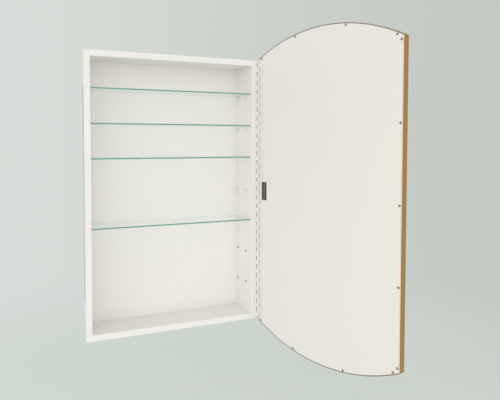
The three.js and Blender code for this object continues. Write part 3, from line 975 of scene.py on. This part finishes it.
def screw_mesh():
    """A domed head with a cross recess, on a plain shank with a point."""
    profile = []
    for step in range(SCREW_DOME_STEPS + 1):
        angle = math.radians(90) * step / SCREW_DOME_STEPS
        height = SCREW_SKIRT + (SCREW_HEIGHT - SCREW_SKIRT) * math.cos(angle)
        profile.append((SCREW_RADIUS * math.sin(angle), height))
    profile += [
        (SCREW_RADIUS, 0),
        (SCREW_SHANK, 0),
        (SCREW_SHANK, SCREW_SHANK - SCREW_LENGTH),
        (0, -SCREW_LENGTH),
    ]
    mesh = bmesh.new()
    points = [mesh.verts.new((radius, 0, height)) for radius, height in profile]
    edges = [mesh.edges.new(pair) for pair in zip(points, points[1:])]
    turn = math.radians(360)
    bmesh.ops.spin(
        mesh, geom=points + edges, cent=(0, 0, 0), axis=(0, 0, 1), angle=turn, steps=SCREW_SIDES
    )
    bmesh.ops.remove_doubles(mesh, verts=mesh.verts, dist=0.001 * MM)
    bmesh.ops.recalc_face_normals(mesh, faces=mesh.faces)
    head = to_object("screw_master", mesh, [screw_zinc])
    combine(head, [recess_arm(0), recess_arm(90)], "DIFFERENCE")
    smooth(head.data, 32)
    data = head.data
    bpy.data.objects.remove(head)
    return data


def recess_arm(turn):
    """One tapered arm of the cross recess."""
    mesh = bmesh.new()
    for half_length, half_width, z in RECESS_LEVELS:
        for x, y in ((1, 1), (-1, 1), (-1, -1), (1, -1)):
            mesh.verts.new((x * half_length, y * half_width, z))
    bmesh.ops.convex_hull(mesh, input=mesh.verts)
    bmesh.ops.rotate(mesh, verts=mesh.verts, matrix=Matrix.Rotation(math.radians(turn), 3, "Z"))
    bmesh.ops.recalc_face_normals(mesh, faces=mesh.faces)
    return to_object("recess_arm", mesh, [screw_zinc])


def door_screws():
    spins = random.Random(7)
    data = screw_mesh()
    outward = door_frame.to_3x3() @ Vector((0, 1, 0))
    stand = outward.to_track_quat("Z", "Y").to_matrix().to_4x4()
    for node in [name for name in frame["nodes"] if "_screw_" in name]:
        low, high = door_box(node)
        seat = door_point(-(low.x + high.x) / 2, 0, (low.z + high.z) / 2)
        screw = bpy.data.objects.new(node.replace("screw", "pan_screw"), data)
        bpy.context.scene.collection.objects.link(screw)
        spin = Matrix.Rotation(spins.uniform(0, math.pi), 4, "Z")
        screw.matrix_world = Matrix.Translation(seat) @ stand @ spin
        settle(screw, "door", "screw_zinc", node)


def dark_plate():
    """A small plate with rounded edges and a sunk field, its UVs running 0 to 1 across and up it."""
    low, high = door_box("blank_plate")
    flat_low = Vector((-high.x, low.z))
    flat_high = Vector((-low.x, high.z))
    rings = []
    for inset, height in PLATE_LEVELS:
        border = Vector((inset, inset))
        corners = rounded_rectangle(flat_low + border, flat_high - border, 0, PLATE_CORNER, 0)
        rings.append([door_point(point.x, -height, point.y) for point in corners])
    plate = loft("charcoal_plate", rings, [plate_charcoal])
    uv_layer = plate.data.uv_layers[0]
    for loop in plate.data.loops:
        point = door_frame_inverse @ plate.data.vertices[loop.vertex_index].co
        across = (-point.x - flat_low.x) / (flat_high.x - flat_low.x)
        up = (point.z - flat_low.y) / (flat_high.y - flat_low.y)
        uv_layer.data[loop.index].uv = (across, up)
    settle(plate, "door", "dark_plate", "blank_plate")


# ---------------------------------------------------------------- floor, lights, background

def make_floor():
    z = cad_bounds[0].z - FLOOR_DROP
    mesh = bmesh.new()
    bmesh.ops.create_circle(mesh, cap_ends=True, radius=FLOOR_RADIUS, segments=96)
    floor = to_object("floor", mesh, [studio_floor()])
    floor.location = (0, 0, z)


def area_light(name, place, aim, size, power, tint, mirrored=False):
    """A soft panel. Unless it is mirrored, glossy surfaces don't show it."""
    data = bpy.data.lights.new(name, "AREA")
    data.shape = "RECTANGLE"
    data.size, data.size_y = size
    data.energy = power
    data.color = tint
    light = bpy.data.objects.new(name, data)
    light.location = place
    light.rotation_euler = (Vector(aim) - Vector(place)).to_track_quat("-Z", "Y").to_euler()
    light.visible_camera = False
    light.visible_glossy = mirrored
    bpy.context.scene.collection.objects.link(light)


def make_background():
    """A plain surround that falls off gently towards one side. Behind the camera it goes from dim
    below to bright above, which is what the mirror shows when the door is shut."""
    world = bpy.data.worlds.new("studio")
    world.use_nodes = True
    bpy.context.scene.world = world
    nodes = world.node_tree.nodes
    links = world.node_tree.links
    nodes.clear()
    direction = nodes.new("ShaderNodeTexCoord").outputs["Generated"]

    def share(axis, limits):
        """0 to 1 as the direction's part along an axis goes from the first limit to the second."""
        along = nodes.new("ShaderNodeVectorMath")
        along.operation = "DOT_PRODUCT"
        along.inputs[1].default_value = axis
        spread = nodes.new("ShaderNodeMapRange")
        spread.interpolation_type = "SMOOTHSTEP"
        spread.inputs["From Min"].default_value = limits[0]
        spread.inputs["From Max"].default_value = limits[1]
        links.new(direction, along.inputs[0])
        links.new(along.outputs["Value"], spread.inputs["Value"])
        return spread.outputs["Result"]

    def blend(factor, first, second):
        tone = nodes.new("ShaderNodeMix")
        tone.data_type = "RGBA"
        links.new(factor, tone.inputs[0])
        for socket, value in ((tone.inputs[6], first), (tone.inputs[7], second)):
            if isinstance(value, bpy.types.NodeSocket):
                links.new(value, socket)
            else:
                socket.default_value = value
        return tone.outputs[2]

    yaw = math.radians(CAMERA_YAW)
    behind = share((-math.sin(yaw), -math.cos(yaw), 0), BEHIND_CAMERA)
    ahead = blend(share((1, 0, 0), TOWARDS_SHADE), BACKGROUND, SHADED_SIDE)
    room = blend(share((0, 0, 1), ROOM_RISE), ROOM_LOW, ROOM_HIGH)
    sky = nodes.new("ShaderNodeBackground")
    output = nodes.new("ShaderNodeOutputWorld")
    links.new(blend(behind, ahead, room), sky.inputs["Color"])
    links.new(sky.outputs[0], output.inputs["Surface"])


make_camera()
box_panels()
glass_shelves()
shelf_clips()
hinge_leaves()
door_frame_members()
door_plates()
door_screws()
dark_plate()
make_floor()
make_background()
for light_name, light_settings in LIGHTS.items():
    area_light(light_name, **light_settings)
bpy.context.scene.view_settings.view_transform = "Standard"
